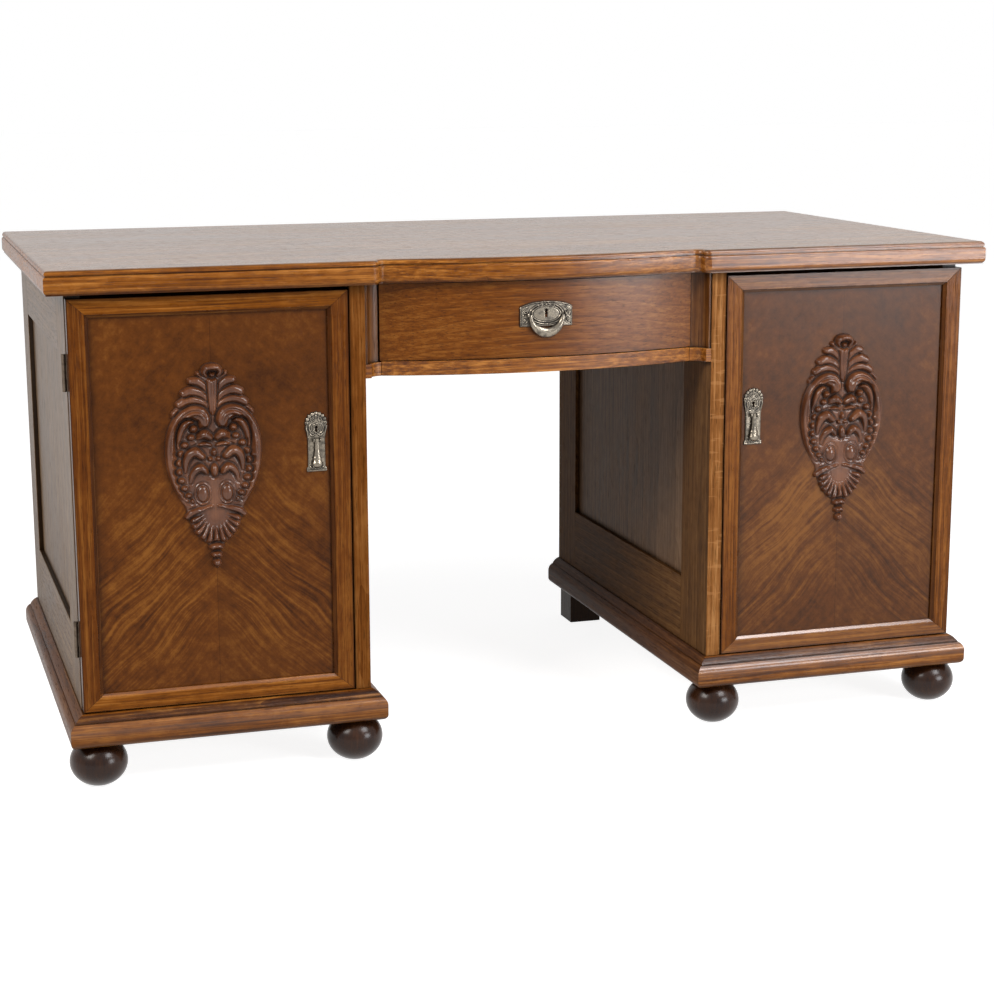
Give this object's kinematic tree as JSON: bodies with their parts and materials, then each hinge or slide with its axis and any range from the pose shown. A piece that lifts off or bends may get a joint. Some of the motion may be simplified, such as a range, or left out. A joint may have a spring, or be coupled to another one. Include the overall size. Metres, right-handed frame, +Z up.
{
  "type": "executive desk",
  "caption": "Twin-pedestal oak desk with a break-front moulded top, two carved cupboard doors, a bow-front drawer and ball feet.",
  "frame": {"origin": "on the floor, under the middle of the desk's box", "axes": "+X along the length to the right as seen from the front, +Y to the back, +Z up"},
  "size_m": [1.506, 0.7589, 0.78],
  "materials": {
    "top_oak": "brown polished oak, semi-gloss",
    "frame_oak": "orange-brown stained oak, semi-gloss",
    "veneer": "bookmatched red-brown veneer, polished",
    "side_panel": "dark stained oak panel",
    "carved_wood": "dark red-brown carved wood, glossy",
    "dark_wood": "very dark turned wood, glossy",
    "inner_wood": "plain pale inner wood",
    "handle_metal": "aged nickel-plated brass",
    "hinge_metal": "darkened steel",
    "lock_metal": "plain steel"
  },
  "bodies": {
    "carcass": {"ball_feet": "dark_wood", "block_feet": "frame_oak", "cabinet_hinge_leaves": "hinge_metal", "corner_posts": "frame_oak", "desk_top": "top_oak", "drawer_kickers": "inner_wood", "drawer_rail": "frame_oak", "drawer_runners": "inner_wood", "left_back_frame": "frame_oak", "left_back_panel": "side_panel", "left_bottom_board": "inner_wood", "left_inner_side_frame": "frame_oak", "left_inner_side_panel": "side_panel", "left_outer_side_frame": "frame_oak", "left_outer_side_panel": "side_panel", "left_plinth_front": "frame_oak", "left_plinth_sides": "frame_oak", "left_shelf": "inner_wood", "plinth_backs": "frame_oak", "plinth_corner_blocks": "inner_wood", "post_base_blocks": "frame_oak", "rear_apron": "inner_wood", "right_back_frame": "frame_oak", "right_back_panel": "side_panel", "right_bottom_board": "inner_wood", "right_inner_side_frame": "frame_oak", "right_inner_side_panel": "side_panel", "right_outer_side_frame": "frame_oak", "right_outer_side_panel": "side_panel", "right_plinth_front": "frame_oak", "right_plinth_sides": "frame_oak", "right_shelf": "inner_wood", "shelf_bearers": "inner_wood", "strike_plates": "lock_metal", "top_rails": "inner_wood"},
    "left_door": {"left_door_carving": "carved_wood", "left_door_frame": "frame_oak", "left_door_hinge_leaves": "hinge_metal", "left_door_lock": "lock_metal", "left_door_panel": "veneer", "left_handle_plate": "handle_metal"},
    "left_drop": {"left_drop_handle": "handle_metal"},
    "left_bolt": {"left_door_bolt": "lock_metal"},
    "right_door": {"right_door_carving": "carved_wood", "right_door_frame": "frame_oak", "right_door_hinge_leaves": "hinge_metal", "right_door_lock": "lock_metal", "right_door_panel": "veneer", "right_handle_plate": "handle_metal"},
    "right_drop": {"right_drop_handle": "handle_metal"},
    "right_bolt": {"right_door_bolt": "lock_metal"},
    "drawer": {"drawer_back": "inner_wood", "drawer_bottom": "inner_wood", "drawer_front": "frame_oak", "drawer_handle_plate": "handle_metal", "drawer_lock": "lock_metal", "drawer_sides": "inner_wood"},
    "bail": {"drawer_bail": "handle_metal"},
    "drawer_bolt": {"drawer_bolt": "lock_metal"}
  },
  "joints": [
    {"name": "left_door_swing", "type": "hinge", "parent": "carcass", "child": "left_door", "pos_m": [-0.7255, -0.332, 0.4285], "axis": [0, 0, -1], "range_deg": [0, 175]},
    {"name": "left_drop_swing", "type": "hinge", "parent": "left_door", "child": "left_drop", "pos_m": [-0.358, -0.3526, 0.512], "axis": [-1, 0, 0], "range_deg": [0, 80]},
    {"name": "left_bolt_slide", "type": "slide", "parent": "left_door", "child": "left_bolt", "axis": [1, 0, 0], "range_m": [0, 0.009]},
    {"name": "right_door_swing", "type": "hinge", "parent": "carcass", "child": "right_door", "pos_m": [0.7255, -0.332, 0.4285], "axis": [0, 0, 1], "range_deg": [0, 175]},
    {"name": "right_drop_swing", "type": "hinge", "parent": "right_door", "child": "right_drop", "pos_m": [0.358, -0.3526, 0.512], "axis": [-1, 0, 0], "range_deg": [0, 80]},
    {"name": "right_bolt_slide", "type": "slide", "parent": "right_door", "child": "right_bolt", "axis": [-1, 0, 0], "range_m": [0, 0.009]},
    {"name": "drawer_slide", "type": "slide", "parent": "carcass", "child": "drawer", "axis": [0, -1, 0], "range_m": [0, 0.38]},
    {"name": "bail_swing", "type": "hinge", "parent": "drawer", "child": "bail", "pos_m": [0, -0.3727, 0.69], "axis": [-1, 0, 0], "range_deg": [0, 85]},
    {"name": "drawer_bolt_slide", "type": "slide", "parent": "drawer", "child": "drawer_bolt", "axis": [0, 0, 1], "range_m": [0, 0.008]}
  ]
}
